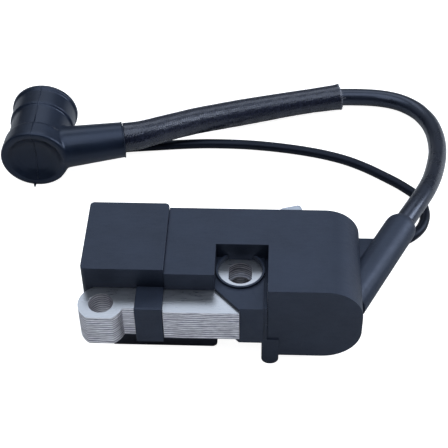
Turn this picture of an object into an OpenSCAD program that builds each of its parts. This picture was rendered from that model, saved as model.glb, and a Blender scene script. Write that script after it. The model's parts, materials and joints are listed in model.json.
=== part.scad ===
// Flywheel ignition coil: laminated core, moulded case, HT lead with plug boot, and stop wire.
// Millimetres. The origin is the axis of the pole-foot screw hole at the underside of the core.
// X runs along the core towards the coil block, Y away from the flywheel, Z up.

/* [Core] */
// Number of steel sheets in the stack
sheet_count = 13; // [9:1:14]
// Spacing of the sheets
sheet_pitch = 0.8; // [0.6:0.05:0.8]
// Radius of the rounded pole foot
foot_r = 6.1; // [5.8:0.1:6.1]
// Radius of the screw hole in the pole foot
hole_r = 3.3; // [2.6:0.1:3.4]
// Radius of the screw hole beside the coil block
hole2_r = 3.1; // [2.6:0.1:3.1]

/* [Case] */
// Length of the case from the pole face side to its back
case_depth = 30.5; // [30:0.1:31]
// Height of the case top above the core's underside
case_top = 16.35; // [16:0.05:17]
// Right end of the coil block
block_x1 = 69.4; // [69:0.1:70]
// Wall thickness of the mouldings
wall = 1.6; // [1.4:0.1:1.8]

/* [Leads] */
// Diameter of the HT lead
lead_d = 5.7; // [5:0.1:5.7]
// Outer diameter of the woven sleeve on the HT lead
sleeve_d = 8.5; // [8:0.1:8.5]
// Diameter of the stop wire
wire_d = 3.1; // [2.5:0.1:3.1]

/* [Plug boot] */
// Outer radius of the boot's head
boot_r = 10.7; // [10.2:0.1:10.7]
// Length of the boot's head
boot_len = 24.8; // [22:0.1:25]
// Radius of the plug socket
socket_r = 5.3; // [4.8:0.1:5.5]

/* [Hidden] */
$fn = 48;

// Core
core_h = sheet_count * sheet_pitch;
sheet_gap = 0.03;
pole_flat_y = -5.1;
setback_y = -1.7;
front_y = -2.75;
strap_x0 = 9.05;
strap_x1 = 16.4;
bar_x1 = 36.7;
bar_back = 8;
hole2 = [36.6, 11.7];
lug_x1 = 42.6;
lug_front = -0.6;
notch_back = 16.8;
leg_x = [53.2, 60.2];
yoke_y = [2, 8.2];
leg_end = 28.2;
charge_leg = [2, 8.6];
charge_leg_end = 27;
trigger_leg = [21, 25];
trigger_leg_end = 20;
flat_half = 3.12;
flat_hole_r = 3.8;
round_sheets = 7;
fit_gap = 0.05;
rivets = [[12.6, 3.4], [23, 7.1], [39.2, 2.2]];
rivet_r = 1.4;

// Case
block_x0 = 44.1;
block_z0 = -9.55;
top_round = 9.9;
bottom_round = 10.5;
mid_x0 = 16.5;
mid_front = 5.35;
notch_x0 = 29.9;
cap_x0 = -5.6;
cap_top = case_top + 1.25;
cap_front = 5.65;
cap_back = 30.95;
cap_low = -4;
rest_z = -12.9;
tray_x0 = 1.2;
tray_x1 = 30.3;
tray_step = -4.2;
tray_front = 5.1;
collar_x0 = notch_x0 + fit_gap;
collar_x1 = 43.05;
collar_top = 11.3;
collar_low = -2.4;
lip_top = 12.05;
lip_r = 6.6;
recess_r = 6.05;

// HT tower
tower_dir = 62.2;
tower_tip = [83.61, 40.42, 3.45];
tower_r = 4.6;
tower_len = 37;
lead_in = 15;
web_top = 5.55;

// Coils
coil_z = core_h / 2;
leg_mid = (leg_x[0] + leg_x[1]) / 2;
coil_y = [9, 28];
slots = 7;
gland = [60, -4];

// Plug boot
boot_z = rest_z + boot_r;
boot_axis_x = -29.75;
boot_y0 = 69.7;
tube_dir = 12.6;
tube_root_y = 73.84;
tube_len = 27.8;
tube_rise = 0.25;
tube_r0 = 6.75;
tube_r1 = 5.6;
swivel_gap = 0.05;
bore_shift = [0, 0.5, 0.5];
pin_in = 3;
end_out = 1;
end_in = 8.4;
seat_r = 4.2;
seat_y = boot_y0 + boot_len - 9.5;
chamber_y = boot_y0 + 5.6;
dish_r = 8.85;
dish_depth = 2.8;

// Cord routes, from the case outwards
lead_sides = 10;
wire_sides = 8;
lead_route = [
    [76.614, 27.151, 3.45], [80.11, 33.79, 3.45], [83.61, 40.42, 3.45], [87.4, 47.7, 2.85],
    [90.8, 55.1, 1.5], [93.4, 62.7, -0.5], [95.35, 70.5, -2.6], [96.8, 78.4, -4.6],
    [97.4, 86.3, -6.4], [97.05, 93.6, -7.85], [95.65, 100, -8.95], [92.5, 105.85, -9.6],
    [87.5, 110.05, -9.85], [81.3, 112.05, -9.85], [74, 111.85, -9.2], [65.4, 110.4, -8.3],
    [57.4, 108.3, -8.2], [49.5, 105.95, -8], [41.8, 103.2, -7.6], [34.2, 100.1, -6.9],
    [26.8, 96.5, -5.8], [20.1, 92.75, -4.45], [14.5, 89.15, -3.3], [9.5, 85.9, -2.35],
    [5.2, 83.12, -1.7], [1.4, 81.303, -1.45], [-1.595, 80.633, -1.45]
];
sleeve_route = concat([[66.9, 110.8, -8.3]], [for (i = [15 : len(lead_route) - 2]) lead_route[i]],
    [[-2.6, 80.408, -1.45]]);
// Added to the sleeve's diameter along it: a frayed, flared end, and wider at the boot's mouth
sleeve_wide = [0.6, 0.1, -0.3, -0.2, 0.1, 0.3, 0.2, 0.1, 0, 0.1, 0.3, 0.6, 0.8];
wire_route = [
    [60, 33, -4], [60.3, 36.2, -4.4], [61.9, 39.1, -5.6], [65, 41.1, -7.3],
    [69.6, 42.4, -9.1], [75.2, 43.7, -10.6], [80.8, 44.9, -11.3], [86.5, 47.5, -11.3],
    [90.6, 52.3, -11.3], [92, 58.8, -11.3], [90.3, 65.3, -11.3], [85.7, 70.4, -11.3],
    [80.2, 74.75, -11.3], [74.6, 78.7, -11.3], [68.6, 82, -11.3], [62.2, 84.4, -11.3],
    [55.6, 86.15, -11.3], [48.9, 87.45, -11.3], [42.1, 88.4, -11.3], [35.3, 89, -11.3],
    [28.5, 89.2, -11.3], [21.7, 89.1, -11.3], [14.8, 88.6, -11.3], [8, 87.85, -11.3],
    [2, 87.15, -11.25], [-2.55, 86.44, -11.1], [-5.5, 85.9, -11.1]
];

// ---------- helpers ----------

module box(lo, hi) {
    translate(lo)
        cube(hi - lo);
}

// A profile drawn in X and Z, carried from y0 to y1
module along_y(y0, y1) {
    translate([0, y1, 0])
        rotate([90, 0, 0])
            linear_extrude(y1 - y0)
                children();
}

module area(lo, hi) {
    translate(lo)
        square(hi - lo);
}

module round_area(lo, hi, r) {
    area(lo + [r, 0], hi - [r, 0]);
    area(lo + [0, r], hi - [0, r]);
    for (x = [lo[0] + r, hi[0] - r], y = [lo[1] + r, hi[1] - r])
        translate([x, y])
            circle(r);
}

// A rectangular sleeve round a core leg, for bobbins and windings
module leg_ring(mid, half_x, half_z, hole_x, hole_z, r, y0, y1) {
    along_y(y0, y1)
        difference() {
            round_area([mid - half_x, coil_z - half_z], [mid + half_x, coil_z + half_z], r);
            area([mid - hole_x, coil_z - hole_z], [mid + hole_x, coil_z + hole_z]);
        }
}

function unit(v) = v / norm(v);
function heading(p, i) = unit(p[min(i + 1, len(p) - 1)] - p[max(i - 1, 0)]);
function ring_at(p, i, r, n) =
    let (t = heading(p, i), s = unit(cross(t, [0, 0, 1])), u = cross(s, t))
    [for (k = [0 : n - 1]) p[i] + r * (cos(360 * k / n) * s + sin(360 * k / n) * u)];

// Points of a smooth curve through a route, with some steps in each stretch
function on_curve(a, b, c, d, t) =
    0.5 * ((2 * b) + (c - a) * t + (2 * a - 5 * b + 4 * c - d) * t * t
        + (3 * b - a - 3 * c + d) * t * t * t);
function smooth(p, steps) =
    concat([for (i = [0 : len(p) - 2], k = [0 : steps - 1])
        on_curve(p[max(i - 1, 0)], p[i], p[i + 1], p[min(i + 2, len(p) - 1)], k / steps)],
        [p[len(p) - 1]]);

module cord(p, d, n) {
    m = len(p);
    pts = [for (i = [0 : m - 1]) each ring_at(p, i, d / 2, n)];
    sides = [for (i = [0 : m - 2], k = [0 : n - 1])
        let (a = i * n + k, b = i * n + (k + 1) % n)
        [a, b, b + n, a + n]];
    first = [[for (k = [0 : n - 1]) n - 1 - k]];
    last = [[for (k = [0 : n - 1]) (m - 1) * n + k]];
    polyhedron(pts, concat(sides, first, last), convexity = 8);
}

// A hollow sleeve along a route, with its own diameter at each point
module hollow_cord(p, d, bore_d, n) {
    m = len(p);
    outer = [for (i = [0 : m - 1]) each ring_at(p, i, d[i] / 2, n)];
    inner = [for (i = [0 : m - 1]) each ring_at(p, i, bore_d / 2, n)];
    q = m * n;
    walls = [for (i = [0 : m - 2], k = [0 : n - 1])
        let (a = i * n + k, b = i * n + (k + 1) % n)
        each [[a, b, b + n, a + n], [q + a, q + a + n, q + b + n, q + b]]];
    ends = [for (k = [0 : n - 1])
        let (c = (k + 1) % n, e = (m - 1) * n)
        each [[k, q + k, q + c, c], [e + k, e + c, q + e + c, q + e + k]]];
    polyhedron(concat(outer, inner), concat(walls, ends), convexity = 8);
}

// ---------- core ----------

module foot_area() {
    intersection() {
        circle(foot_r);
        area([-foot_r, pole_flat_y], [foot_r, foot_r]);
    }
}

module sheet_outline() {
    foot_area();
    area([0, setback_y], [17, bar_back]);
    area([strap_x1 + 0.2, front_y], [bar_x1, bar_back]);
    area([28.6, lug_front], [lug_x1, notch_back - fit_gap]);
    area([lug_x1 - 1, yoke_y[0]], [leg_x[1], yoke_y[1]]);
    area([leg_x[0], yoke_y[0]], [leg_x[1], leg_end]);
    area([charge_leg[0], 0], [charge_leg[1], charge_leg_end]);
    area([trigger_leg[0], 0], [trigger_leg[1], trigger_leg_end]);
}

module flatted_hole() {
    intersection() {
        circle(flat_hole_r);
        area([-flat_half, -flat_hole_r], [flat_half, flat_hole_r]);
    }
}

module core_sheets() {
    color("silver")
        for (i = [0 : sheet_count - 1])
            translate([0, 0, i * sheet_pitch])
                difference() {
                    linear_extrude(sheet_pitch - sheet_gap)
                        difference() {
                            sheet_outline();
                            for (p = rivets)
                                translate(p)
                                    circle(rivet_r + 0.02);
                            if (i >= round_sheets)
                                translate(hole2)
                                    flatted_hole();
                        }
                    translate([0, 0, -1])
                        cylinder(h = 3, r = hole_r);
                    if (i < round_sheets)
                        translate([hole2[0], hole2[1], -1])
                            cylinder(h = 3, r = hole2_r);
                }
}

module core_rivets() {
    color("gainsboro")
        for (p = rivets)
            translate([p[0], p[1], 0]) {
                cylinder(h = core_h - sheet_gap, r = rivet_r);
            }
}

module core_strap() {
    ridge = 0.35;
    color([0.13, 0.14, 0.16])
        difference() {
            union() {
                box([strap_x0, -2.9, -1.6], [strap_x1, cap_front - fit_gap, core_h + 0.75]);
                box([strap_x0, -2.9, core_h], [strap_x1, -2.1, core_h + 0.75 + ridge]);
            }
            box([strap_x0 - 1, setback_y - fit_gap, -fit_gap], [strap_x1 + 1, 20, core_h + 0.02]);
            box([strap_x0 - 1, mid_front - 0.05, -5], [strap_x1 + 1, 20, 3]);
        }
}

module collar_outline() {
    polygon([
        [collar_x0, notch_back - fit_gap], [collar_x0, 5.3], [bar_x1 - 0.2, -1.85],
        [collar_x1, -1.85], [collar_x1, notch_back - fit_gap]
    ]);
}

module mount_collar() {
    color([0.16, 0.17, 0.19])
        difference() {
            union() {
                translate([0, 0, collar_low])
                    linear_extrude(collar_top - collar_low)
                        collar_outline();
                intersection() {
                    translate([hole2[0], hole2[1], collar_top - 1])
                        cylinder(h = lip_top - collar_top + 1, r = lip_r);
                    box([collar_x0, 0, 0], [collar_x1 + 1, notch_back - fit_gap, lip_top]);
                }
                box([collar_x1 - 0.5, -0.9, collar_low],
                    [block_x0 - fit_gap, notch_back - fit_gap, collar_top - 0.6]);
            }
            box([20, lug_front - fit_gap, -fit_gap],
                [lug_x1 + 0.02, notch_back + 1, core_h + 0.02]);
            box([20, front_y - 1, -fit_gap], [bar_x1 + fit_gap, bar_back, core_h + 0.02]);
            box([lug_x1 - 1, yoke_y[0] - fit_gap, -fit_gap],
                [block_x0 + 1, yoke_y[1] + fit_gap, core_h + 0.02]);
            box([20, tray_front - fit_gap, collar_low - 1], [tray_x1 + fit_gap, notch_back + 1, 0]);
            translate([hole2[0], hole2[1], core_h])
                cylinder(h = 5, r = recess_r);
            translate([hole2[0], hole2[1], collar_low - 1])
                cylinder(h = 5, r = hole_r + 1.2);
        }
}

// ---------- case ----------

module block_area(inset) {
    x0 = block_x0 + inset;
    x1 = block_x1 - inset;
    z0 = block_z0 + inset;
    z1 = case_top - inset;
    rt = top_round - inset;
    rb = bottom_round - inset;
    area([x0, z0], [x1 - rb, z1]);
    area([x0, z0 + rb], [x1 - rt, z1]);
    area([x0, z0 + rb], [x1, z1 - rt]);
    translate([x1 - rt, z1 - rt])
        circle(rt);
    translate([x1 - rb, z0 + rb])
        circle(rb);
}

module at_tower() {
    translate(tower_tip)
        rotate([0, 0, tower_dir])
            rotate([0, 90, 0])
                children();
}

module tower_solid() {
    translate([0, 0, -tower_len])
        cylinder(h = tower_len - tower_r, r = tower_r);
    translate([0, 0, -tower_r])
        sphere(tower_r);
}

module web() {
    translate([0, 0, -0.65])
        linear_extrude(web_top + 0.65)
            polygon([[block_x1 - 1, 8], [77.9, case_depth], [block_x1 - 1, case_depth]]);
}

module coil_case() {
    color([0.15, 0.16, 0.18])
        difference() {
            union() {
                along_y(-0.1, case_depth)
                    block_area(0);
                box([mid_x0, mid_front, -0.1], [notch_x0, case_depth, case_top]);
                box([notch_x0 - 1, notch_back, -0.1], [block_x0 + 1, case_depth, case_top]);
                box([tray_x1 + 0.1, notch_back, block_z0], [block_x0 + 1, case_depth, 0]);
                box([42.6, -0.5, rest_z + 2.3], [47.3, 4.6, -2.65]);
                translate([44.95, -0.5, rest_z + 2.35])
                    rotate([-90, 0, 0])
                        cylinder(h = 5.1, r = 2.35);
                at_tower()
                    tower_solid();
                web();
            }
            along_y(1.7, case_depth + 1)
                block_area(wall);
            box([18, 7, -1], [notch_x0 - 1.5, case_depth - 1.5, case_top - wall]);
            box([27, 18.4, -1], [tray_x1, case_depth - 1.5, case_top - wall]);
            box([30, 18.4, block_z0 + wall], [block_x0 - 1.5, case_depth - 1.5, case_top - wall]);
            box([mid_x0 - 1, mid_front - 1, -1], [notch_x0 + 0.2, bar_back + fit_gap, core_h + 0.02]);
            box([28.5, mid_front - 1, -1], [notch_x0 + 0.2, notch_back, core_h + 0.02]);
            box([block_x0 - 1, yoke_y[0] - fit_gap, -fit_gap],
                [block_x0 + wall + 0.1, yoke_y[1] + fit_gap, core_h + 0.02]);
            at_tower() {
                translate([0, 0, -lead_in])
                    cylinder(h = lead_in + 1, r = lead_d / 2 + 0.1);
                translate([0, 0, -tower_len])
                    cylinder(h = tower_len, r = 1.05);
            }
        }
}

module left_cap() {
    inner = 1.3;
    color([0.14, 0.15, 0.17])
        difference() {
            translate([0, 0, cap_low])
                linear_extrude(cap_top - cap_low) {
                    round_area([cap_x0, cap_front], [mid_x0 - fit_gap, cap_back], 1.2);
                    area([10, cap_front], [mid_x0 - fit_gap, cap_back - 2]);
                }
            box([cap_x0 + inner, cap_front + inner, cap_low - 1],
                [mid_x0 + 1, cap_back - inner, cap_top - inner]);
            box([-2.6, cap_front - 1, cap_low - 1], [mid_x0 + 1, cap_front + inner + 0.5, core_h + 0.02]);
        }
}

module tray_area(inset) {
    r = 1.5 - inset / 2;
    area([tray_x0 + inset, rest_z + inset], [tray_x1 - inset - r, tray_step - inset]);
    area([mid_x0 + inset, rest_z + inset + r], [tray_x1 - inset, -0.15]);
    translate([tray_x1 - inset - r, rest_z + inset + r])
        circle(r);
}

module module_tray() {
    color([0.1, 0.1, 0.12])
        difference() {
            along_y(tray_front, case_depth)
                tray_area(0);
            along_y(tray_front + 1.4, case_depth - 1.5)
                union() {
                    tray_area(1.4);
                    area([mid_x0 + 1.4, -6], [tray_x1 - 1.4, 1]);
                }
        }
}

module module_resin() {
    color([0.08, 0.08, 0.09])
        box([tray_x0 + 1.5, mid_front + 1.6, rest_z + 1.45], [tray_x1 - 2.2, case_depth - 1.6, -9.45]);
}

module at_tab() {
    translate([49.9, 39.5, 8.35])
        rotate([0, 0, 16.6])
            children();
}

module coil_resin() {
    color([0.06, 0.06, 0.07])
        difference() {
            along_y(leg_end + 0.4, case_depth - 0.6)
                block_area(wall + fit_gap);
            at_tab()
                box([-3.2, -14, -0.45], [3.2, 0, 0.45]);
            translate([gland[0], case_depth + 1, gland[1]])
                rotate([90, 0, 0])
                    cylinder(h = 4, r = 2.62);
        }
}

// ---------- charge, trigger and transformer coils ----------

module bobbin(mid, half_leg, y0, y1, rim, wall_t) {
    leg_ring(mid, half_leg + wall_t, core_h / 2 + wall_t, half_leg + fit_gap,
        core_h / 2 + fit_gap, 0.5, y0, y1);
    for (y = [y0, y1 - 0.8])
        leg_ring(mid, half_leg + rim, core_h / 2 + rim * 0.68, half_leg + fit_gap,
            core_h / 2 + fit_gap, 1.2, y, y + 0.8);
}

module charge_bobbin() {
    color("ivory")
        bobbin(5.3, 3.3, 9, 26.6, 4, 0.8);
}

module charge_winding() {
    color([0.72, 0.33, 0.12])
        leg_ring(5.3, 6.8, 7.4, 4.12, 6.02, 1.5, 9.85, 25.75);
}

module trigger_bobbin() {
    color("ivory")
        bobbin(23, 2, 9, 19.6, 2.4, 0.6);
}

module trigger_winding() {
    color([0.72, 0.33, 0.12])
        leg_ring(23, 3.9, 6.5, 2.62, 5.82, 1, 9.85, 18.75);
}

module primary_bobbin() {
    color("ivory") {
        leg_ring(leg_mid, 4.3, 6, 3.55, 5.25, 0.6, coil_y[0], coil_y[1]);
        for (y = [coil_y[0], coil_y[1] - 0.7])
            leg_ring(leg_mid, 5.4, 7.1, 3.55, 5.25, 1, y, y + 0.7);
    }
}

module primary_winding() {
    color([0.75, 0.36, 0.14])
        leg_ring(leg_mid, 5.3, 7, 4.32, 6.02, 1, coil_y[0] + 0.75, coil_y[1] - 0.75);
}

module secondary_bobbin() {
    pitch = (coil_y[1] - coil_y[0] - 0.9) / slots;
    color("beige") {
        leg_ring(leg_mid, 6.4, 8, 5.5, 7.2, 1.2, coil_y[0], coil_y[1]);
        for (i = [0 : slots])
            leg_ring(leg_mid, 8.8, 9.2, 5.5, 7.2, 4.5, coil_y[0] + i * pitch,
                coil_y[0] + i * pitch + 0.9);
    }
}

module secondary_winding() {
    pitch = (coil_y[1] - coil_y[0] - 0.9) / slots;
    color([0.62, 0.27, 0.1])
        for (i = [0 : slots - 1])
            leg_ring(leg_mid, 8.3, 8.8, 6.42, 8.02, 4, coil_y[0] + i * pitch + 0.95,
                coil_y[0] + (i + 1) * pitch - 0.05);
}

// ---------- ignition module ----------

board_top = -7.8;

module circuit_board() {
    color([0.05, 0.3, 0.12])
        box([5.5, 7.4, -9.4], [27.8, 28.4, board_top]);
}

module storage_capacitor() {
    color([0.7, 0.25, 0.1])
        translate([23.2, 24.6, board_top + 0.02])
            linear_extrude(5.6)
                round_area([-4.2, -3], [4.2, 3], 0.8);
}

module thyristor() {
    color([0.07, 0.07, 0.08])
        translate([21, 11, board_top + 0.02])
            linear_extrude(4.4)
                intersection() {
                    circle(2.3);
                    area([-3, -2.3], [3, 1.3]);
                }
}

module axial_part(p, body_r, body_len) {
    translate([p[0], p[1], board_top + body_r + 0.02])
        rotate([90, 0, 0]) {
            cylinder(h = body_len, r = body_r, center = true);
            cylinder(h = body_len + 4, r = 0.3, center = true);
        }
}

module diodes() {
    color([0.1, 0.1, 0.11])
        for (x = [7.2, 10.2])
            axial_part([x, 22, 0], 1.05, 4.6);
}

module resistors() {
    color("tan")
        for (x = [6.8, 9.4, 12])
            axial_part([x, 12, 0], 0.85, 3.6);
}

module ht_post() {
    color("goldenrod")
        at_tower()
            translate([0, 0, -33.8])
                cylinder(h = 33.8 - lead_in - 0.02, r = 0.95);
}

module earth_tab() {
    color("silver")
        at_tab()
            difference() {
                union() {
                    box([-3.15, -11, -0.4], [3.15, -1, 0.4]);
                    box([-2.2, -1.1, -0.4], [2.2, 0, 0.4]);
                    for (x = [-2.15, 2.15])
                        translate([x, -1, -0.4])
                            cylinder(h = 0.8, r = 1);
                }
                translate([0, -4, -1])
                    cylinder(h = 2, r = 0.85);
            }
}

module wire_gland() {
    color([0.1, 0.1, 0.1])
        translate([gland[0], case_depth - 1.6, gland[1]])
            rotate([-90, 0, 0])
                difference() {
                    union() {
                        cylinder(h = 2.2, r = 2.6);
                        translate([0, 0, 1.2])
                            cylinder(h = 2.9, r1 = 3, r2 = 2.2);
                    }
                    translate([0, 0, 3])
                        cylinder(h = 3, r = wire_d / 2 + 0.08);
                }
}

// ---------- leads ----------

module ht_lead() {
    color([0.1, 0.11, 0.13])
        cord(smooth(lead_route, 2), lead_d, lead_sides);
}

module lead_sleeve() {
    color([0.2, 0.2, 0.24])
        hollow_cord(sleeve_route, [for (w = sleeve_wide) sleeve_d + w], lead_d + 0.5, 14);
}

module stop_wire() {
    color([0.12, 0.12, 0.14])
        cord(wire_route, wire_d, wire_sides);
}

module at_wire_end() {
    translate(wire_route[len(wire_route) - 1])
        rotate([0, 0, 190.3])
            rotate([0, 90, 0])
                children();
}

module terminal_sleeve() {
    color([0.15, 0.15, 0.17])
        at_wire_end()
            translate([0, 0, 0.05])
                difference() {
                    cylinder(h = 6, r = 1.75);
                    translate([0, 0, 0.8])
                        cylinder(h = 6, r = 1.25);
                }
}

module wire_terminal() {
    color("goldenrod")
        at_wire_end() {
            translate([0, 0, 0.9])
                cylinder(h = 7.1, r = 1.2);
            translate([0, 0, 6.1])
                cylinder(h = 1.2, r = 1.7);
            translate([0, 0, 7.9])
                cylinder(h = 1.6, r = 1.6);
        }
}

// ---------- plug boot ----------

module at_head() {
    translate([boot_axis_x, boot_y0, boot_z])
        rotate([-90, 0, 0])
            children();
}

module at_tube() {
    translate([boot_axis_x, tube_root_y, boot_z + tube_rise])
        rotate([0, 0, tube_dir])
            rotate([0, 90, 0])
                children();
}

// The lead's own axis in the boot, about which the boot swivels
module at_bore() {
    translate(bore_shift)
        at_tube()
            children();
}

function dish(r) = dish_depth * (1 - pow(r / dish_r, 3));

module boot_profile() {
    polygon(concat(
        [for (r = [0 : 1.45 : dish_r]) [r, dish(r)]],
        [
            [9.2, 0.05], [boot_r - 0.35, 0], [boot_r, 0.4], [boot_r, 1.6], [boot_r - 0.3, 6.3],
            [boot_r - 1, 6.5], [boot_r - 1.1, 15.8], [boot_r - 0.45, 16.1], [boot_r - 0.65, 22.7],
            [boot_r - 0.1, 23], [boot_r - 0.1, boot_len - 0.6], [boot_r - 0.8, boot_len],
            [0, boot_len]
        ]
    ));
}

module plug_boot() {
    color([0.13, 0.14, 0.16])
        difference() {
            union() {
                at_head()
                    rotate_extrude()
                        boot_profile();
                difference() {
                    at_tube()
                        translate([0, 0, 6])
                            cylinder(h = tube_len - 6, r1 = tube_r0, r2 = tube_r1);
                    at_head()
                        translate([0, 0, -6])
                            cylinder(h = 10, r = 9.3);
                }
            }
            at_bore() {
                translate([0, 0, end_in])
                    cylinder(h = tube_len, r = lead_d / 2 + swivel_gap);
                translate([0, 0, pin_in - 0.1])
                    cylinder(h = end_in - pin_in + 1, r = 1.1);
            }
            at_head()
                translate([0, 0, chamber_y - boot_y0])
                    cylinder(h = boot_len, r = seat_r);
            at_head()
                translate([0, 0, seat_y - boot_y0])
                    cylinder(h = boot_len, r = socket_r);
        }
}

module lead_end() {
    color([0.1, 0.11, 0.13])
        at_bore()
            translate([0, 0, end_in + 0.1])
                cylinder(h = tube_len + end_out - end_in - 0.1, r = lead_d / 2);
}

module boot_pin() {
    color("goldenrod")
        at_bore()
            translate([0, 0, pin_in])
                cylinder(h = end_in - pin_in, r = 1);
}

module plug_spring() {
    turns = 6;
    steps = 14;
    coil_r = seat_r - 0.5;
    pitch = 1.2;
    color("silver")
        at_head()
            translate([0, 0, chamber_y - boot_y0 + 0.65])
                rotate([0, 0, 180])
                    cord([for (k = [0 : turns * steps])
                        [coil_r * cos(360 * k / steps), coil_r * sin(360 * k / steps),
                            pitch * k / steps]], 0.9, 6);
}

core_sheets();
core_rivets();
core_strap();
mount_collar();
coil_case();
left_cap();
module_tray();
module_resin();
coil_resin();
charge_bobbin();
charge_winding();
trigger_bobbin();
trigger_winding();
primary_bobbin();
primary_winding();
secondary_bobbin();
secondary_winding();
circuit_board();
storage_capacitor();
thyristor();
diodes();
resistors();
ht_post();
earth_tab();
wire_gland();
ht_lead();
lead_sleeve();
lead_end();
stop_wire();
wire_terminal();
terminal_sleeve();
plug_boot();
boot_pin();
plug_spring();
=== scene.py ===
import json
import math
import random

import bmesh
import bpy
from mathutils import Matrix, Vector


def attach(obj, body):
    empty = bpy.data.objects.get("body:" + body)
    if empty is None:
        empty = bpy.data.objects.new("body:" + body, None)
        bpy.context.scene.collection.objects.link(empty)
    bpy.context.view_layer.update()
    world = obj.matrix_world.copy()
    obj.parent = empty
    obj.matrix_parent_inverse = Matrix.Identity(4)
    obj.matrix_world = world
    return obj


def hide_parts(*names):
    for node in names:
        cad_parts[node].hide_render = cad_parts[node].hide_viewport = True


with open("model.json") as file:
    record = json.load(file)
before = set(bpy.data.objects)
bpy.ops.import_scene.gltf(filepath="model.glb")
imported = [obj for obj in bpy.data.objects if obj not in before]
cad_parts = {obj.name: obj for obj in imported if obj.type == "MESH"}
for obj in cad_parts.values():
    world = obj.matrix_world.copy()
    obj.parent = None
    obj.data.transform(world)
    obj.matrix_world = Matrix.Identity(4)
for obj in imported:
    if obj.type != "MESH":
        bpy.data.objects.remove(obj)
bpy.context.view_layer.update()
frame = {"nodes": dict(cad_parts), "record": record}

MM = 0.001
UP = Vector((0, 0, 1))
rng = random.Random(7)


# ---------- camera and stage ----------

CAMERA_AT = (44.335, -207.725, 248.816)
CAMERA_AZIMUTH, CAMERA_ELEVATION, CAMERA_ROLL = 3.1, 45.0, 1.16
CAMERA_LENS, CAMERA_SENSOR = 96.43, 36


def set_camera():
    """The photograph's viewpoint: 45 degrees down, almost square on, with a slight roll."""
    azimuth, elevation, roll = (
        math.radians(a) for a in (CAMERA_AZIMUTH, CAMERA_ELEVATION, CAMERA_ROLL))
    forward = Vector((
        -math.sin(azimuth) * math.cos(elevation),
        math.cos(azimuth) * math.cos(elevation),
        -math.sin(elevation),
    ))
    right = Vector((math.cos(azimuth), math.sin(azimuth), 0))
    down = forward.cross(right)
    x_axis = math.cos(roll) * right + math.sin(roll) * down
    y_axis = -(-math.sin(roll) * right + math.cos(roll) * down)
    data = bpy.data.cameras.new("camera")
    data.sensor_width = CAMERA_SENSOR
    data.lens = CAMERA_LENS
    data.clip_start = 0.01
    data.clip_end = 20
    camera = bpy.data.objects.new("camera", data)
    bpy.context.scene.collection.objects.link(camera)
    place = Matrix((x_axis, y_axis, -forward)).transposed().to_4x4()
    place.translation = Vector(CAMERA_AT) * MM
    camera.matrix_world = place
    bpy.context.scene.camera = camera


set_camera()


# ---------- cords: the routes of the HT lead and the stop wire ----------

ROUTE_STEPS = 8    # points on the curve for each step of a route


def on_route(points, steps=ROUTE_STEPS):
    """Points on the smooth curve through a route, in metres. A route itself is in mm."""
    out = []
    last = len(points) - 1
    for i in range(last):
        a, b, c, d = (Vector(points[k]) for k in (max(i - 1, 0), i, i + 1, min(i + 2, last)))
        for k in range(steps):
            t = k / steps
            out.append(0.5 * (2 * b + (c - a) * t + (2 * a - 5 * b + 4 * c - d) * t * t
                              + (3 * b - a - 3 * c + d) * t ** 3))
    out.append(Vector(points[last]))
    return [p * MM for p in out]


LEAD_ROUTE = [
    (76.614, 27.151, 3.45), (80.11, 33.79, 3.45), (83.61, 40.42, 3.45), (87.4, 47.7, 2.85),
    (90.8, 55.1, 1.5), (93.4, 62.7, -0.5), (95.35, 70.5, -2.6), (96.8, 78.4, -4.6),
    (97.4, 86.3, -6.4), (97.05, 93.6, -7.85), (95.65, 100, -8.95), (92.5, 105.85, -9.6),
    (87.5, 110.05, -9.85), (81.3, 112.05, -9.85), (74, 111.85, -9.2), (65.4, 110.4, -8.3),
    (57.4, 108.3, -8.2), (49.5, 105.95, -8), (41.8, 103.2, -7.6), (34.2, 100.1, -6.9),
    (26.8, 96.5, -5.8), (20.1, 92.75, -4.45), (14.5, 89.15, -3.3), (9.5, 85.9, -2.35),
    (5.2, 83.12, -1.7), (1.4, 81.303, -1.45), (-1.595, 80.633, -1.45),
]
SLEEVE_ROUTE = [(66.9, 110.8, -8.3)] + LEAD_ROUTE[15:-1] + [(-2.6, 80.408, -1.45)]
# how much wider or narrower than SLEEVE_D the sleeve is at each point of its route
SLEEVE_WIDE = [0.6, 0.1, -0.3, -0.2, 0.1, 0.3, 0.2, 0.1, 0, 0.1, 0.3, 0.6, 0.8]
WIRE_ROUTE = [
    (60, 33, -4), (60.3, 36.2, -4.4), (61.9, 39.1, -5.6), (65, 41.1, -7.3),
    (69.6, 42.4, -9.1), (75.2, 43.7, -10.6), (80.8, 44.9, -11.3), (86.5, 47.5, -11.3),
    (90.6, 52.3, -11.3), (92, 58.8, -11.3), (90.3, 65.3, -11.3), (85.7, 70.4, -11.3),
    (80.2, 74.75, -11.3), (74.6, 78.7, -11.3), (68.6, 82, -11.3), (62.2, 84.4, -11.3),
    (55.6, 86.15, -11.3), (48.9, 87.45, -11.3), (42.1, 88.4, -11.3), (35.3, 89, -11.3),
    (28.5, 89.2, -11.3), (21.7, 89.1, -11.3), (14.8, 88.6, -11.3), (8, 87.85, -11.3),
    (2, 87.15, -11.25), (-2.55, 86.44, -11.1), (-5.5, 85.9, -11.1),
]
LEAD_D, SLEEVE_D, WIRE_D = 5.7, 8.5, 3.1
FLOOR_Z = -12.9


def link(obj):
    bpy.context.scene.collection.objects.link(obj)
    return obj


def cord_curve(name, points, diameter):
    data = bpy.data.curves.new(name, "CURVE")
    data.dimensions = "3D"
    data.bevel_depth = diameter * MM / 2
    data.bevel_resolution = 7
    data.use_fill_caps = True
    spline = data.splines.new("POLY")
    spline.points.add(len(points) - 1)
    for point, p in zip(spline.points, points):
        point.co = (*p, 1)
    spline.use_smooth = True
    return link(bpy.data.objects.new(name, data))


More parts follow.
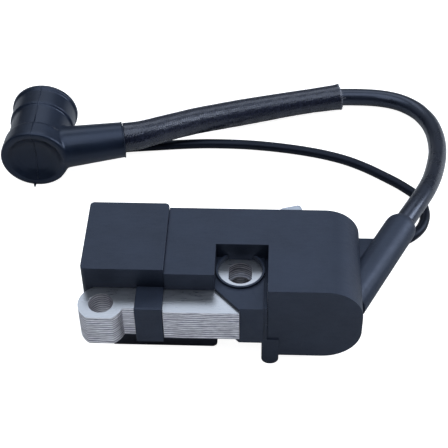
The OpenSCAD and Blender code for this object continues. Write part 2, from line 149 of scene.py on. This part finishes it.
lead_line = on_route(LEAD_ROUTE)
lead = cord_curve("ht_cable", lead_line, LEAD_D)
wire_line = on_route(WIRE_ROUTE)
wire = cord_curve("stop_cable", wire_line, WIRE_D)


# ---------- materials ----------

COOL_SHEEN = (0.62, 0.73, 1, 1)    # the bluish tint of gloss on black plastic and rubber


def material(name):
    mat = bpy.data.materials.new(name)
    mat.use_nodes = True
    tree = mat.node_tree
    return mat, tree, tree.nodes["Principled BSDF"]


def node(tree, kind, **values):
    made = tree.nodes.new("ShaderNode" + kind)
    for key, value in values.items():
        if key in made.inputs:
            made.inputs[key].default_value = value
        else:
            setattr(made, key, value)
    return made


def ramp(tree, source, stops):
    made = node(tree, "ValToRGB")
    tree.links.new(source, made.inputs["Fac"])
    elements = made.color_ramp.elements
    while len(elements) < len(stops):
        elements.new(0.5)
    for element, (at, colour) in zip(elements, stops):
        element.position = at
        element.color = (*colour, 1)
    return made


def coords(tree, scale=(1, 1, 1), turn=(0, 0, 0)):
    where = node(tree, "TexCoord")
    mapping = node(tree, "Mapping")
    mapping.inputs["Scale"].default_value = scale
    mapping.inputs["Rotation"].default_value = turn
    tree.links.new(where.outputs["Object"], mapping.inputs["Vector"])
    return mapping.outputs["Vector"]


def noise(tree, where, scale, detail=3.0, rough=0.5):
    made = node(tree, "TexNoise", Scale=scale, Detail=detail, Roughness=rough)
    tree.links.new(where, made.inputs["Vector"])
    return made.outputs["Fac"]


def to_range(tree, source, low, high, at=(0.0, 1.0)):
    made = node(tree, "MapRange")
    made.inputs["From Min"].default_value = at[0]
    made.inputs["From Max"].default_value = at[1]
    made.inputs["To Min"].default_value = low
    made.inputs["To Max"].default_value = high
    tree.links.new(source, made.inputs["Value"])
    return made.outputs["Result"]


def math_node(tree, operation, a, b=None):
    made = node(tree, "Math", operation=operation)
    for i, value in enumerate((a, b)):
        if value is None:
            continue
        if isinstance(value, (int, float)):
            made.inputs[i].default_value = value
        else:
            tree.links.new(value, made.inputs[i])
    return made.outputs[0]


def bump(tree, shader, height, strength, distance):
    made = node(tree, "Bump", Strength=strength, Distance=distance)
    tree.links.new(height, made.inputs["Height"])
    tree.links.new(made.outputs["Normal"], shader.inputs["Normal"])


def shade(colour, factor):
    return tuple(min(c * factor, 1) for c in colour)


def plastic(name, colour, rough=(0.42, 0.58), grain=2600, bump_mm=0.02, mottle=0.25):
    """Moulded plastic: cloudy colour, fine sparked grain, uneven sheen and faint scuffs."""
    mat, tree, shader = material(name)
    where = coords(tree)
    cloud = noise(tree, where, 95, 5, 0.6)
    tone = ramp(tree, cloud, [(0.25, shade(colour, 1 - mottle)),
                              (0.75, shade(colour, 1 + mottle))])
    tree.links.new(tone.outputs["Color"], shader.inputs["Base Color"])
    fine = noise(tree, where, grain, 2, 0.6)
    scuffs = noise(tree, coords(tree, (1, 6, 2), (0.3, 0.2, 0.5)), 260, 4, 0.75)
    mixed = math_node(tree, "ADD", math_node(tree, "MULTIPLY", fine, 0.45),
                      math_node(tree, "MULTIPLY", scuffs, 0.55))
    tree.links.new(to_range(tree, mixed, rough[0], rough[1], (0.35, 0.65)),
                   shader.inputs["Roughness"])
    bump(tree, shader, fine, 0.55, bump_mm * MM)
    shader.inputs["Specular Tint"].default_value = COOL_SHEEN
    return mat


def metal(name, colour, rough=(0.28, 0.42)):
    """Bare or plated metal with drawn-out rolling marks and dull patches."""
    mat, tree, shader = material(name)
    lines = noise(tree, coords(tree, (1, 14, 1)), 420, 5, 0.7)
    patches = noise(tree, coords(tree), 160, 4, 0.6)
    tone = ramp(tree, patches, [(0.3, shade(colour, 0.82)), (0.7, shade(colour, 1.1))])
    tree.links.new(tone.outputs["Color"], shader.inputs["Base Color"])
    mixed = math_node(tree, "ADD", math_node(tree, "MULTIPLY", lines, 0.5),
                      math_node(tree, "MULTIPLY", patches, 0.5))
    tree.links.new(to_range(tree, mixed, rough[0], rough[1], (0.3, 0.7)),
                   shader.inputs["Roughness"])
    bump(tree, shader, lines, 0.5, 0.004 * MM)
    shader.inputs["Metallic"].default_value = 1
    return mat


SHEET_MM = 0.8    # thickness of one punched sheet


def sheet_steel(name):
    """Punched sheet: rolled tops, and edges with a bright sheared band over a torn, darker one."""
    mat, tree, shader = material(name)
    place = node(tree, "TexCoord")
    split = node(tree, "SeparateXYZ")
    tree.links.new(place.outputs["Object"], split.inputs[0])
    wobble = noise(tree, coords(tree, (0.16, 0.16, 0.7), (0, 0.12, 0)), 900, 3, 0.6)
    height = math_node(tree, "ADD", math_node(tree, "DIVIDE", split.outputs["Z"], SHEET_MM * MM),
                       math_node(tree, "MULTIPLY", wobble, 1.5))
    phase = math_node(tree, "FRACT", height)
    edge = ramp(tree, phase, [
        (0.0, (0.08, 0.08, 0.1)), (0.12, (0.62, 0.61, 0.66)), (0.45, (1, 0.99, 1)),
        (0.62, (0.86, 0.84, 0.88)), (0.78, (0.3, 0.29, 0.33)), (0.9, (0.55, 0.54, 0.6)),
        (1.0, (0.06, 0.06, 0.08)),
    ])
    streak = noise(tree, coords(tree, (0.12, 0.12, 1.6)), 2600, 3, 0.7)
    streaks = node(tree, "Mix", data_type="RGBA", blend_type="MULTIPLY")
    streaks.inputs["Factor"].default_value = 0.75
    tree.links.new(edge.outputs["Color"], streaks.inputs[6])
    grey = ramp(tree, streak, [(0.32, (0.42, 0.42, 0.46)), (0.6, (1, 1, 1))])
    tree.links.new(grey.outputs["Color"], streaks.inputs[7])
    rolled = noise(tree, coords(tree, (1, 9, 1)), 330, 4, 0.6)
    top = ramp(tree, rolled, [(0.3, (0.3, 0.315, 0.345)), (0.7, (0.37, 0.385, 0.415))])
    facing = node(tree, "NewGeometry")
    normal = node(tree, "SeparateXYZ")
    tree.links.new(facing.outputs["True Normal"], normal.inputs[0])
    flat = math_node(tree, "ABSOLUTE", normal.outputs["Z"])
    is_top = to_range(tree, flat, 0, 1, (0.75, 0.9))
    colour = node(tree, "Mix", data_type="RGBA")
    tree.links.new(is_top, colour.inputs["Factor"])
    tree.links.new(streaks.outputs[2], colour.inputs[6])
    tree.links.new(top.outputs["Color"], colour.inputs[7])
    tree.links.new(colour.outputs[2], shader.inputs["Base Color"])
    rough = node(tree, "Mix", data_type="FLOAT")
    tree.links.new(is_top, rough.inputs["Factor"])
    tree.links.new(to_range(tree, streak, 0.34, 0.6, (0.3, 0.7)), rough.inputs[2])
    tree.links.new(to_range(tree, rolled, 0.26, 0.36, (0.3, 0.7)), rough.inputs[3])
    tree.links.new(rough.outputs[0], shader.inputs["Roughness"])
    bump(tree, shader, streak, 0.45, 0.02 * MM)
    shader.inputs["Metallic"].default_value = 1
    return mat


def rubber(name, colour, rough=(0.34, 0.46), coat=0.0, bump_mm=0.012, grain=1500, level=0.5):
    """Moulded or extruded rubber: soft sheen with a slightly uneven skin."""
    mat, tree, shader = material(name)
    where = coords(tree)
    cloud = noise(tree, where, 130, 4, 0.6)
    tone = ramp(tree, cloud, [(0.3, shade(colour, 0.78)), (0.72, shade(colour, 1.28))])
    tree.links.new(tone.outputs["Color"], shader.inputs["Base Color"])
    skin = noise(tree, where, grain, 3, 0.55)
    mixed = math_node(tree, "ADD", math_node(tree, "MULTIPLY", cloud, 0.6),
                      math_node(tree, "MULTIPLY", skin, 0.4))
    tree.links.new(to_range(tree, mixed, rough[0], rough[1], (0.35, 0.65)),
                   shader.inputs["Roughness"])
    bump(tree, shader, skin, 0.4, bump_mm * MM)
    shader.inputs["Specular IOR Level"].default_value = level
    shader.inputs["Specular Tint"].default_value = COOL_SHEEN
    shader.inputs["Coat Weight"].default_value = coat
    shader.inputs["Coat Roughness"].default_value = 0.22
    return mat


def wound(name, colour):
    """Enamelled wire in close turns, with painted shade in the grooves between turns."""
    mat, tree, shader = material(name)
    turns = node(tree, "TexWave", Scale=900, Distortion=0.6, Detail=1)
    turns.bands_direction = "Y"
    tree.links.new(coords(tree), turns.inputs["Vector"])
    # painted shade: the copper darkens to a third of its colour in the grooves between turns
    tone = ramp(tree, turns.outputs["Fac"], [(0.0, shade(colour, 0.35)), (0.6, colour)])
    tree.links.new(tone.outputs["Color"], shader.inputs["Base Color"])
    tree.links.new(to_range(tree, turns.outputs["Fac"], 0.5, 0.25), shader.inputs["Roughness"])
    bump(tree, shader, turns.outputs["Fac"], 0.7, 0.05 * MM)
    shader.inputs["Metallic"].default_value = 0.85
    return mat


def braid(name):
    """Varnished glass-fibre braid: dark strands, fine fibre flecks, pale fibres at the cut end."""
    mat, tree, shader = material(name)
    flecks = noise(tree, coords(tree), 1700, 4, 0.75)
    tone = ramp(tree, flecks, [(0.35, (0.004, 0.005, 0.011)), (0.58, (0.012, 0.014, 0.026)),
                               (0.78, (0.05, 0.054, 0.095))])
    end = Vector(SLEEVE_ROUTE[0])
    along = (Vector(SLEEVE_ROUTE[1]) - end).normalized()
    start = (end * MM).dot(along)
    place = node(tree, "TexCoord")
    depth = node(tree, "VectorMath", operation="DOT_PRODUCT")
    tree.links.new(place.outputs["Object"], depth.inputs[0])
    depth.inputs[1].default_value = along
    cut = to_range(tree, depth.outputs["Value"], 1, 0, (start, start + 0.7 * MM))
    pale = node(tree, "Mix", data_type="RGBA")
    tree.links.new(math_node(tree, "MULTIPLY", cut, to_range(tree, flecks, 0, 1, (0.42, 0.6))),
                   pale.inputs["Factor"])
    tree.links.new(tone.outputs["Color"], pale.inputs[6])
    pale.inputs[7].default_value = (0.3, 0.31, 0.36, 1)
    tree.links.new(pale.outputs[2], shader.inputs["Base Color"])
    patches = noise(tree, coords(tree), 700, 3, 0.6)
    tree.links.new(to_range(tree, patches, 0.16, 0.34, (0.35, 0.65)), shader.inputs["Roughness"])
    bump(tree, shader, flecks, 0.3, 0.02 * MM)
    shader.inputs["Specular Tint"].default_value = (0.66, 0.76, 1, 1)
    shader.inputs["Specular IOR Level"].default_value = 0.28
    shader.inputs["Coat Weight"].default_value = 0.55
    shader.inputs["Coat Roughness"].default_value = 0.14
    return mat


CASE = (0.009, 0.0125, 0.022)
mats = {
    "case_plastic": plastic("case_moulding", CASE),
    "cap_plastic": plastic("cap_moulding", shade(CASE, 0.9)),
    "tray_plastic": plastic("tray_moulding", (0.012, 0.012, 0.017), (0.4, 0.55)),
    "resin": plastic("potting_resin", (0.006, 0.006, 0.008), (0.12, 0.3), 300, 0.05),
    "bobbin_nylon": plastic("natural_nylon", (0.6, 0.55, 0.42), (0.35, 0.5), mottle=0.08),
    "magnet_wire": wound("enamelled_copper", (0.62, 0.22, 0.07)),
    "board": plastic("solder_mask", (0.02, 0.12, 0.04), (0.2, 0.35), 900),
    "capacitor_coat": plastic("dipped_epoxy", (0.42, 0.1, 0.03), (0.15, 0.3), 400),
    "component_black": plastic("component_epoxy", (0.01, 0.01, 0.011), (0.3, 0.45)),
    "resistor_coat": plastic("resistor_lacquer", (0.45, 0.3, 0.15), (0.2, 0.35), 500),
    "brass": metal("turned_brass", (0.72, 0.5, 0.2), (0.22, 0.38)),
    "tab_steel": metal("tinned_steel", (0.3, 0.33, 0.38), (0.3, 0.45)),
    "rivet_steel": metal("rivet_steel", (0.6, 0.61, 0.64)),
    "spring_steel": metal("zinc_plated", (0.66, 0.67, 0.7), (0.2, 0.34)),
    "core_steel": sheet_steel("lamination_steel"),
    "gland_rubber": rubber("gland_rubber", (0.01, 0.01, 0.012)),
    "lead_jacket": rubber("lead_jacket", (0.007, 0.009, 0.016), (0.24, 0.34), coat=0.15,
                          bump_mm=0.008, grain=900),
    "wire_jacket": rubber("wire_jacket", (0.004, 0.005, 0.009), bump_mm=0.01, grain=1200,
                          level=0.2),
    "boot_rubber": rubber("boot_rubber", (0.006, 0.0095, 0.019), (0.28, 0.4), coat=0.04,
                          grain=1400, level=0.4),
    "sleeve_braid": braid("varnished_braid"),
}


def finish_with(obj, slot_name):
    obj.data.materials.clear()
    obj.data.materials.append(mats[slot_name])


for part in frame["record"]["subparts"]:
    carried = frame["nodes"][part["node"]]
    for k in range(len(carried.material_slots)):
        carried.material_slots[k].material = mats[part["material_slot"]]
    if not carried.material_slots:
        carried.data.materials.append(mats[part["material_slot"]])


# ---------- mouldings: the CAD shapes with their edges rounded ----------

def mesh_piece(name, mesh, slot_name, body, replaced=()):
    obj = link(bpy.data.objects.new(name, mesh))
    finish_with(obj, slot_name)
    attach(obj, body)
    if replaced:
        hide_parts(*replaced)
    return obj


def cleaned(node_name):
    """A CAD node's mesh as plain faces: doubles merged, flat parts joined."""
    source = frame["nodes"][node_name]
    bm = bmesh.new()
    bm.from_mesh(source.data)
    bmesh.ops.remove_doubles(bm, verts=bm.verts, dist=0.002 * MM)
    bmesh.ops.dissolve_limit(bm, angle_limit=math.radians(0.6), verts=bm.verts, edges=bm.edges)
    bmesh.ops.recalc_face_normals(bm, faces=bm.faces)
    return bm


BEVEL_FROM_DEG = 24      # edges that turn less than this stay as they are
SMOOTH_BELOW_DEG = 35    # faces that meet at less than this are shaded smooth


def rounded(name, node_name, width_mm, slot_name, segments=2):
    bm = cleaned(node_name)
    mesh = bpy.data.meshes.new(name)
    bm.to_mesh(mesh)
    bm.free()
    obj = mesh_piece(name, mesh, slot_name, "coil", (node_name,))
    edge = obj.modifiers.new("edge", "BEVEL")
    edge.width = width_mm * MM
    edge.segments = segments
    edge.limit_method = "ANGLE"
    edge.angle_limit = math.radians(BEVEL_FROM_DEG)
    edge.use_clamp_overlap = True
    mesh.polygons.foreach_set("use_smooth", [True] * len(mesh.polygons))
    mesh.set_sharp_from_angle(angle=math.radians(SMOOTH_BELOW_DEG))
    mesh.update()


rounded("case_shell", "coil_case", 0.35, "case_plastic")
rounded("left_cover", "left_cap", 0.3, "cap_plastic")
rounded("screw_collar", "mount_collar", 0.45, "case_plastic", 3)
rounded("core_band", "core_strap", 0.4, "case_plastic", 3)
rounded("module_box", "module_tray", 0.25, "tray_plastic")
rounded("earth_blade", "earth_tab", 0.12, "tab_steel")
rounded("lamination_stack", "core_sheets", 0.08, "core_steel", 1)


# ---------- plug boot: soft blends, a parting line and flash ----------

BOOT_X, BOOT_Y, BOOT_R = -29.75, 69.7, 10.7
BOOT_Z = FLOOR_Z + BOOT_R
DISH_DEPTH, DISH_R = 2.8, 8.85
TUBE_AT, TUBE_LEN, TUBE_MOUTH_R = Vector((BOOT_X, 73.84, BOOT_Z + 0.25)), 27.8, 5.6
TUBE_TURN = math.radians(12.6)
TUBE_AXIS = Vector((math.cos(TUBE_TURN), math.sin(TUBE_TURN), 0))
BOOT_VOXEL = 0.3


def evaluated(obj):
    """The object's mesh with its modifiers applied."""
    shown = obj.evaluated_get(bpy.context.evaluated_depsgraph_get())
    return bpy.data.meshes.new_from_object(shown)


def smooth_verts(bm, verts, factor, times):
    for _ in range(times):
        bmesh.ops.smooth_vert(bm, verts=verts, factor=factor, use_axis_x=True, use_axis_y=True,
                              use_axis_z=True)


def boot_mesh():
    """The boot's CAD shape as one skin, with its arm blended into its head."""
    bm = cleaned("plug_boot")
    mesh = bpy.data.meshes.new("boot_rough")
    bm.to_mesh(mesh)
    bm.free()
    rough = link(bpy.data.objects.new("boot_rough", mesh))
    remesh = rough.modifiers.new("even", "REMESH")
    remesh.mode = "VOXEL"
    remesh.voxel_size = BOOT_VOXEL * MM
    out = evaluated(rough)
    bpy.data.objects.remove(rough)
    bm = bmesh.new()
    bm.from_mesh(out)
    joint = []    # the crease where the arm meets the head
    for v in bm.verts:
        p = v.co / MM
        from_head = math.hypot(p.x - BOOT_X, p.z - BOOT_Z)
        off = p - TUBE_AT
        along = off.dot(TUBE_AXIS)
        from_tube = (off - along * TUBE_AXIS).length
        if 8.4 < from_head < 14.5 and 6.2 < from_tube < 9.2 and 6 < along < 16:
            joint.append(v)
    smooth_verts(bm, joint, 0.5, 14)
    smooth_verts(bm, bm.verts, 0.4, 2)
    bm.to_mesh(out)
    bm.free()
    out.name = "boot_moulding"
    out.polygons.foreach_set("use_smooth", [True] * len(out.polygons))
    return out


def bead(bm, points, radius, sides=8, closed=False):
    """A thin bead along points, added to bm. Its radius is one number or one for each point."""
    count = len(points)
    rings = []
    for i, p in enumerate(points):
        before = points[(i - 1) % count if closed else max(i - 1, 0)]
        after = points[(i + 1) % count if closed else min(i + 1, count - 1)]
        t = (after - before).normalized()
        u = t.orthogonal() if not rings else (side - side.dot(t) * t)
        side = u.normalized()
        other = t.cross(side)
        r = radius[i] if isinstance(radius, list) else radius
        rings.append([bm.verts.new((p + r * (math.cos(a) * side + math.sin(a) * other)) * MM)
                      for a in (2 * math.pi * k / sides for k in range(sides))])
    pairs = list(zip(rings, rings[1:]))
    if closed:
        last, first = rings[-1], rings[0]
        turn = min(range(sides), key=lambda k: (last[0].co - first[k].co).length)
        pairs.append((last, first[turn:] + first[:turn]))
    for one, two in pairs:
        for k in range(sides):
            bm.faces.new((one[k], one[(k + 1) % sides], two[(k + 1) % sides], two[k]))
    if not closed:
        bm.faces.new(list(reversed(rings[0])))
        bm.faces.new(rings[-1])


def boot_flash_mesh():
    """The mould's parting line over the dish and head, with flash at the rim and the mouth."""
    bm = bmesh.new()
    dish = [(r, DISH_DEPTH * (1 - abs(r / DISH_R) ** 3))
            for r in (-8.4, -7.2, -5.8, -4, -2, 0, 2, 4, 5.8, 7.2, 8.4)]
    # the rest of the line over the head: distance from its axis, and distance along it
    over = dish + [(9.3, 0.12), (10.2, 0.02), (10.62, 0.5), (10.66, 2), (10.4, 6.1), (9.75, 6.7),
                   (9.62, 11), (9.62, 15.6), (10.2, 16.3), (10.08, 22.4), (10.55, 23.2),
                   (10.55, 23.9)]
    line = [Vector((BOOT_X + 0.06 * math.sin(1.7 * i), BOOT_Y + y, BOOT_Z + r))
            for i, (r, y) in enumerate(over)]
    bead(bm, line, [0.17 + 0.04 * rng.random() for _ in line])
    bead(bm, [Vector((BOOT_X - 1.1, BOOT_Y + 0.5, BOOT_Z - 10.25)),
              Vector((BOOT_X - 1.1, BOOT_Y - 0.5, BOOT_Z - 10.3)),
              Vector((BOOT_X - 1.0, BOOT_Y - 1.1, BOOT_Z - 10.35))], [0.45, 0.35, 0.2])
    side = TUBE_AXIS.cross(UP).normalized()
    mouth = TUBE_AT + (TUBE_LEN - 0.25) * TUBE_AXIS
    lip = []
    lip_points = 48
    for k in range(lip_points):
        a = 2 * math.pi * k / lip_points
        r = TUBE_MOUTH_R - 0.02 + 0.1 * rng.random() + 0.16 * math.sin(3 * a) ** 8
        lip.append(mouth + r * (math.cos(a) * side + math.sin(a) * UP))
    bead(bm, lip, 0.2, 6, True)
    mesh = bpy.data.meshes.new("boot_flash")
    bmesh.ops.recalc_face_normals(bm, faces=bm.faces)
    bm.to_mesh(mesh)
    bm.free()
    mesh.polygons.foreach_set("use_smooth", [True] * len(mesh.polygons))
    return mesh


boot = mesh_piece("boot_moulding", boot_mesh(), "boot_rubber", "boot", ("plug_boot",))
boot_flash = mesh_piece("boot_flash", boot_flash_mesh(), "boot_rubber", "boot")


# ---------- woven sleeve on the HT lead ----------

STRANDS = 24          # in each direction
STRAND_LAY = 9.0      # a strand goes half way round in this length
RING_POINTS = 120
ROW_MM = 0.24         # between the outer wall's rings
INNER_ROWS = 40
SLEEVE_GAP = 0.25     # between the lead and the sleeve's inner wall
FIBRES = 46


def sleeve_mesh():
    """A braided tube with real strands, closed to an inner wall, and frayed where it is cut."""
    line = [p / MM for p in on_route(SLEEVE_ROUTE)]
    far = [0.0]
    for a, b in zip(line, line[1:]):
        far.append(far[-1] + (b - a).length)
    total = far[-1]
    rows = int(total / ROW_MM)

    def at(d):
        """Place, direction and radius of the sleeve at the distance d from its cut end."""
        d = min(max(d, 0.0), total)
        k = next(i for i in range(1, len(far)) if far[i] >= d or i == len(far) - 1)
        f = (d - far[k - 1]) / max(far[k] - far[k - 1], 1e-9)
        t = (line[min(k + 1, len(line) - 1)] - line[max(k - 2, 0)]).normalized()
        pos = (k - 1 + f) / ROUTE_STEPS
        i = min(int(pos), len(SLEEVE_WIDE) - 2)
        wide = SLEEVE_WIDE[i] + (SLEEVE_WIDE[i + 1] - SLEEVE_WIDE[i]) * (pos - i)
        return line[k - 1].lerp(line[k], f), t, (SLEEVE_D + wide) / 2

    def ring(d, radius_of):
        p, t, r = at(d)
        s = t.cross(UP).normalized()
        u = s.cross(t)
        out = []
        for k in range(RING_POINTS):
            a = 2 * math.pi * k / RING_POINTS
            out.append(bm.verts.new((p + radius_of(a, d, r)
                                     * (math.cos(a) * s + math.sin(a) * u)) * MM))
        return out

    def woven(a, d, r):
        one = STRANDS / 2 * a / math.pi + STRANDS * d / STRAND_LAY / 2
        two = STRANDS / 2 * a / math.pi - STRANDS * d / STRAND_LAY / 2
        over = math.cos(math.pi * (math.floor(one) + math.floor(two)))
        crest_one = abs(math.sin(math.pi * one)) ** 0.7 * (0.72 + 0.28 * over)
        crest_two = abs(math.sin(math.pi * two)) ** 0.7 * (0.72 - 0.28 * over)
        return r - 0.32 + 0.3 * max(crest_one, crest_two)

    bm = bmesh.new()
    outer = [ring(total * i / rows, woven) for i in range(rows + 1)]
    inner = [ring(total * i / INNER_ROWS, lambda a, d, r: LEAD_D / 2 + SLEEVE_GAP)
             for i in range(INNER_ROWS + 1)]
    for wall, flip in ((outer, False), (inner, True)):
        for one, two in zip(wall, wall[1:]):
            for k in range(RING_POINTS):
                n = (k + 1) % RING_POINTS
                quad = (one[k], one[n], two[n], two[k])
                bm.faces.new(tuple(reversed(quad)) if flip else quad)
    for a_ring, b_ring in ((outer[0], inner[0]), (inner[-1], outer[-1])):
        for k in range(RING_POINTS):
            n = (k + 1) % RING_POINTS
            bm.faces.new((a_ring[k], b_ring[k], b_ring[n], a_ring[n]))
    # loose fibres at the cut end
    p, t, r = at(0.4)
    s = t.cross(UP).normalized()
    u = s.cross(t)
    for _ in range(FIBRES):
        a = 2 * math.pi * rng.random()
        out_dir = math.cos(a) * s + math.sin(a) * u
        root = p + (r - 0.22) * out_dir
        lean = out_dir * (0.1 + 0.5 * rng.random()) + s * 0.3 * (rng.random() - 0.5)
        long = 0.5 + 0.9 * rng.random()
        if (root + long * (lean - t)).z < FLOOR_Z + 0.1:    # it would reach the floor
            continue
        tip = root + long * (lean - t).normalized()
        bead(bm, [root, root.lerp(tip, 0.55) + 0.05 * out_dir, tip], [0.09, 0.07, 0.025], 5)
    bmesh.ops.recalc_face_normals(bm, faces=bm.faces)
    mesh = bpy.data.meshes.new("woven_sleeve")
    bm.to_mesh(mesh)
    bm.free()
    mesh.polygons.foreach_set("use_smooth", [True] * len(mesh.polygons))
    return mesh


sleeve = mesh_piece("woven_sleeve", sleeve_mesh(), "sleeve_braid", "coil", ("lead_sleeve",))


# ---------- cords: what they stand for, and what is on them ----------

for obj, slot_name, node_name in ((lead, "lead_jacket", "ht_lead"),
                                  (wire, "wire_jacket", "stop_wire")):
    finish_with(obj, slot_name)
    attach(obj, "coil")
    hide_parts(node_name)


# ---------- stage ----------

FLOOR_HALF = 3.0               # metres
LIGHT_COLOUR = (0.84, 0.9, 1.0)
# name, place, the point it faces, width, depth (metres) and power (watts)
SOFTBOXES = (
    ("overhead_softbox", (0.04, -0.04, 0.8), (0.04, 0.06, 0), 1.1, 0.55, 4.4),
    ("back_softbox", (0.04, 0.86, 0.92), (0.045, 0.04, 0), 1.0, 0.45, 2.45),
    ("right_softbox", (0.76, 0.22, 0.4), (0.06, 0.04, 0), 0.42, 0.5, 4.8),
    ("front_softbox", (0.0, -0.36, 0.62), (0.0, 0.06, 0), 0.4, 0.1, 0.7),
    ("front_card", (0.05, -0.06, -0.0118), (0.05, -0.02, 0.05), 0.13, 0.05, 0.021),
)


def add_floor():
    """Pale paper: grey to the light, white to the camera."""
    mesh = bpy.data.meshes.new("floor")
    z = FLOOR_Z * MM
    corners = ((-1, -1), (1, -1), (1, 1), (-1, 1))
    mesh.from_pydata([(x * FLOOR_HALF, y * FLOOR_HALF, z) for x, y in corners], [],
                     [(0, 1, 2, 3)])
    floor = link(bpy.data.objects.new("floor", mesh))
    mat = bpy.data.materials.new("floor_paper")
    mat.use_nodes = True
    tree = mat.node_tree
    tree.nodes.clear()
    out = node(tree, "OutputMaterial")
    diffuse = node(tree, "BsdfDiffuse", Color=(0.5, 0.5, 0.5, 1))
    glow = node(tree, "Emission", Color=(1, 1, 1, 1))
    rays = node(tree, "LightPath")
    tree.links.new(math_node(tree, "MULTIPLY", rays.outputs["Is Camera Ray"], 0.95),
                   glow.inputs["Strength"])
    seen = node(tree, "AddShader")
    tree.links.new(diffuse.outputs[0], seen.inputs[0])
    tree.links.new(glow.outputs[0], seen.inputs[1])
    tree.links.new(seen.outputs[0], out.inputs["Surface"])
    mesh.materials.append(mat)


def add_world():
    """White to the camera. To the light, a cool room that is brighter high up and behind."""
    world = bpy.data.worlds.new("studio")
    bpy.context.scene.world = world
    world.use_nodes = True
    sky = world.node_tree
    back = sky.nodes["Background"]
    where = node(sky, "TexCoord")
    split = node(sky, "SeparateXYZ")
    sky.links.new(where.outputs["Generated"], split.inputs[0])
    high = to_range(sky, split.outputs["Z"], 0.05, 1.0, (0.1, 0.8))
    behind = to_range(sky, split.outputs["Y"], 0.12, 1.0, (-0.75, 0.25))
    level = math_node(sky, "MULTIPLY", math_node(sky, "MULTIPLY", high, behind), 0.7)
    rays = node(sky, "LightPath")
    sky.links.new(math_node(sky, "MAXIMUM", level, rays.outputs["Is Camera Ray"]),
                  back.inputs["Strength"])
    tint = node(sky, "Mix", data_type="RGBA")
    sky.links.new(rays.outputs["Is Camera Ray"], tint.inputs["Factor"])
    tint.inputs[6].default_value = (0.86, 0.94, 1.0, 1)
    tint.inputs[7].default_value = (1, 1, 1, 1)
    sky.links.new(tint.outputs[2], back.inputs["Color"])


def add_lights():
    for name, at, aim, width, depth, power in SOFTBOXES:
        data = bpy.data.lights.new(name, "AREA")
        data.shape = "RECTANGLE"
        data.size = width
        data.size_y = depth
        data.energy = power
        data.color = LIGHT_COLOUR
        lamp = link(bpy.data.objects.new(name, data))
        lamp.visible_camera = False
        lamp.location = at
        lamp.rotation_euler = (Vector(aim) - Vector(at)).to_track_quat("-Z", "Y").to_euler()


add_floor()
add_world()
add_lights()
bpy.context.scene.view_settings.view_transform = "Standard"
